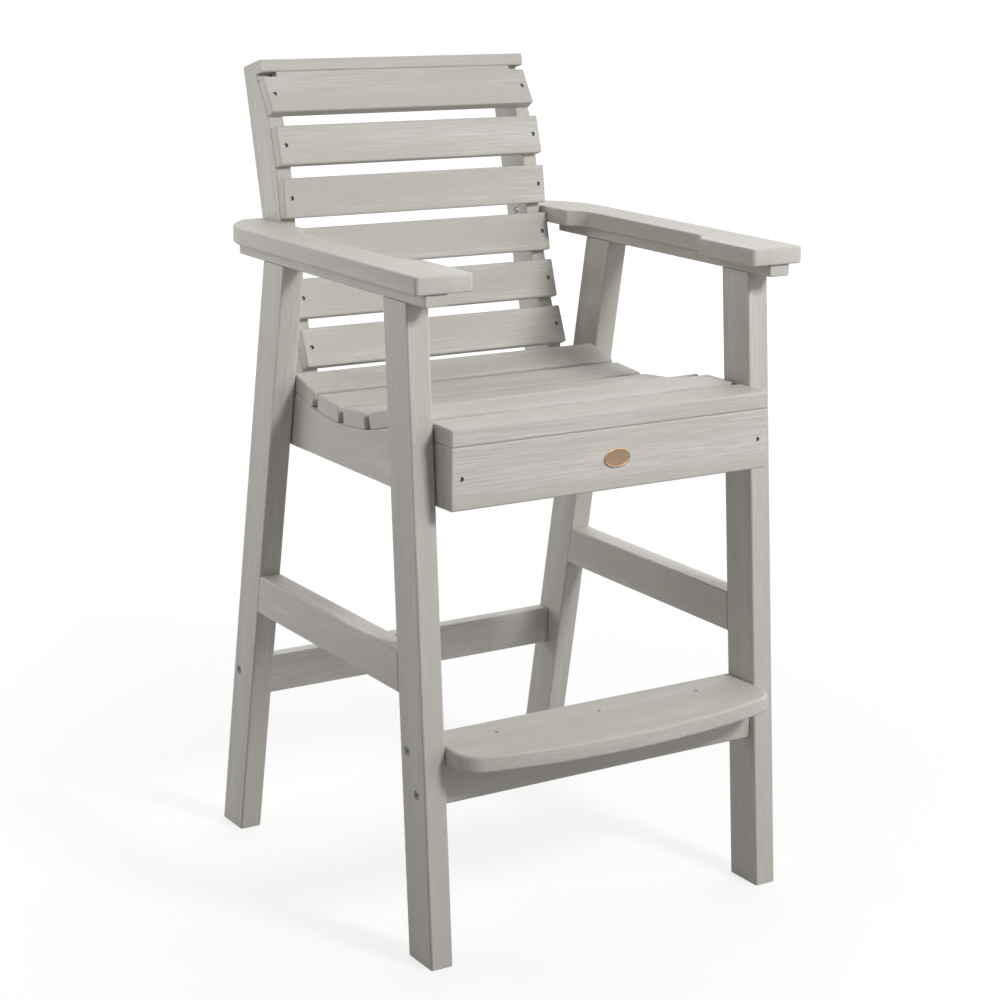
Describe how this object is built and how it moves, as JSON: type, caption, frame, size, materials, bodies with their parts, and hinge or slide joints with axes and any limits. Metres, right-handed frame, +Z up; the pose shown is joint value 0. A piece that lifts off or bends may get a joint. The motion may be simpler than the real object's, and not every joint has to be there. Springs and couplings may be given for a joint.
{
  "type": "bar armchair",
  "caption": "Bar-height armchair of rounded boards with leaning legs, a scooped slatted seat, a curved slatted back, flat arms and a bowed footrest.",
  "frame": {"origin": "on the floor, at the centre of the overall width and depth", "axes": "+X across to the right seen from the front, the chair faces -Y, +Z up"},
  "size_m": [0.644, 0.7535, 1.2052],
  "materials": {
    "board": "matte, with a fine brushed grain along each board",
    "steel": "dull"
  },
  "bodies": {
    "root": {"front_leg_left": "board", "front_leg_right": "board", "rear_leg_left": "board", "rear_leg_right": "board", "side_stretcher_left": "board", "side_stretcher_right": "board", "rear_stretcher": "board", "footrest_rail": "board", "footrest_board": "board", "arm_bearer_left": "board", "arm_bearer_right": "board", "arm_left": "board", "arm_right": "board", "seat_rail_left": "board", "seat_rail_right": "board", "front_apron": "board", "rear_seat_rail": "board", "seat_slat_1": "board", "seat_slat_2": "board", "seat_slat_3": "board", "seat_slat_4": "board", "seat_slat_5": "board", "seat_slat_6": "board", "back_post_left": "board", "back_post_right": "board", "back_slat_1": "board", "back_slat_2": "board", "back_slat_3": "board", "back_slat_4": "board", "back_slat_5": "board", "back_slat_6": "board", "upper_back_rail": "board", "back_cap": "board", "leg_bolts": "steel", "arm_bolts": "steel"}
  },
  "joints": []
}
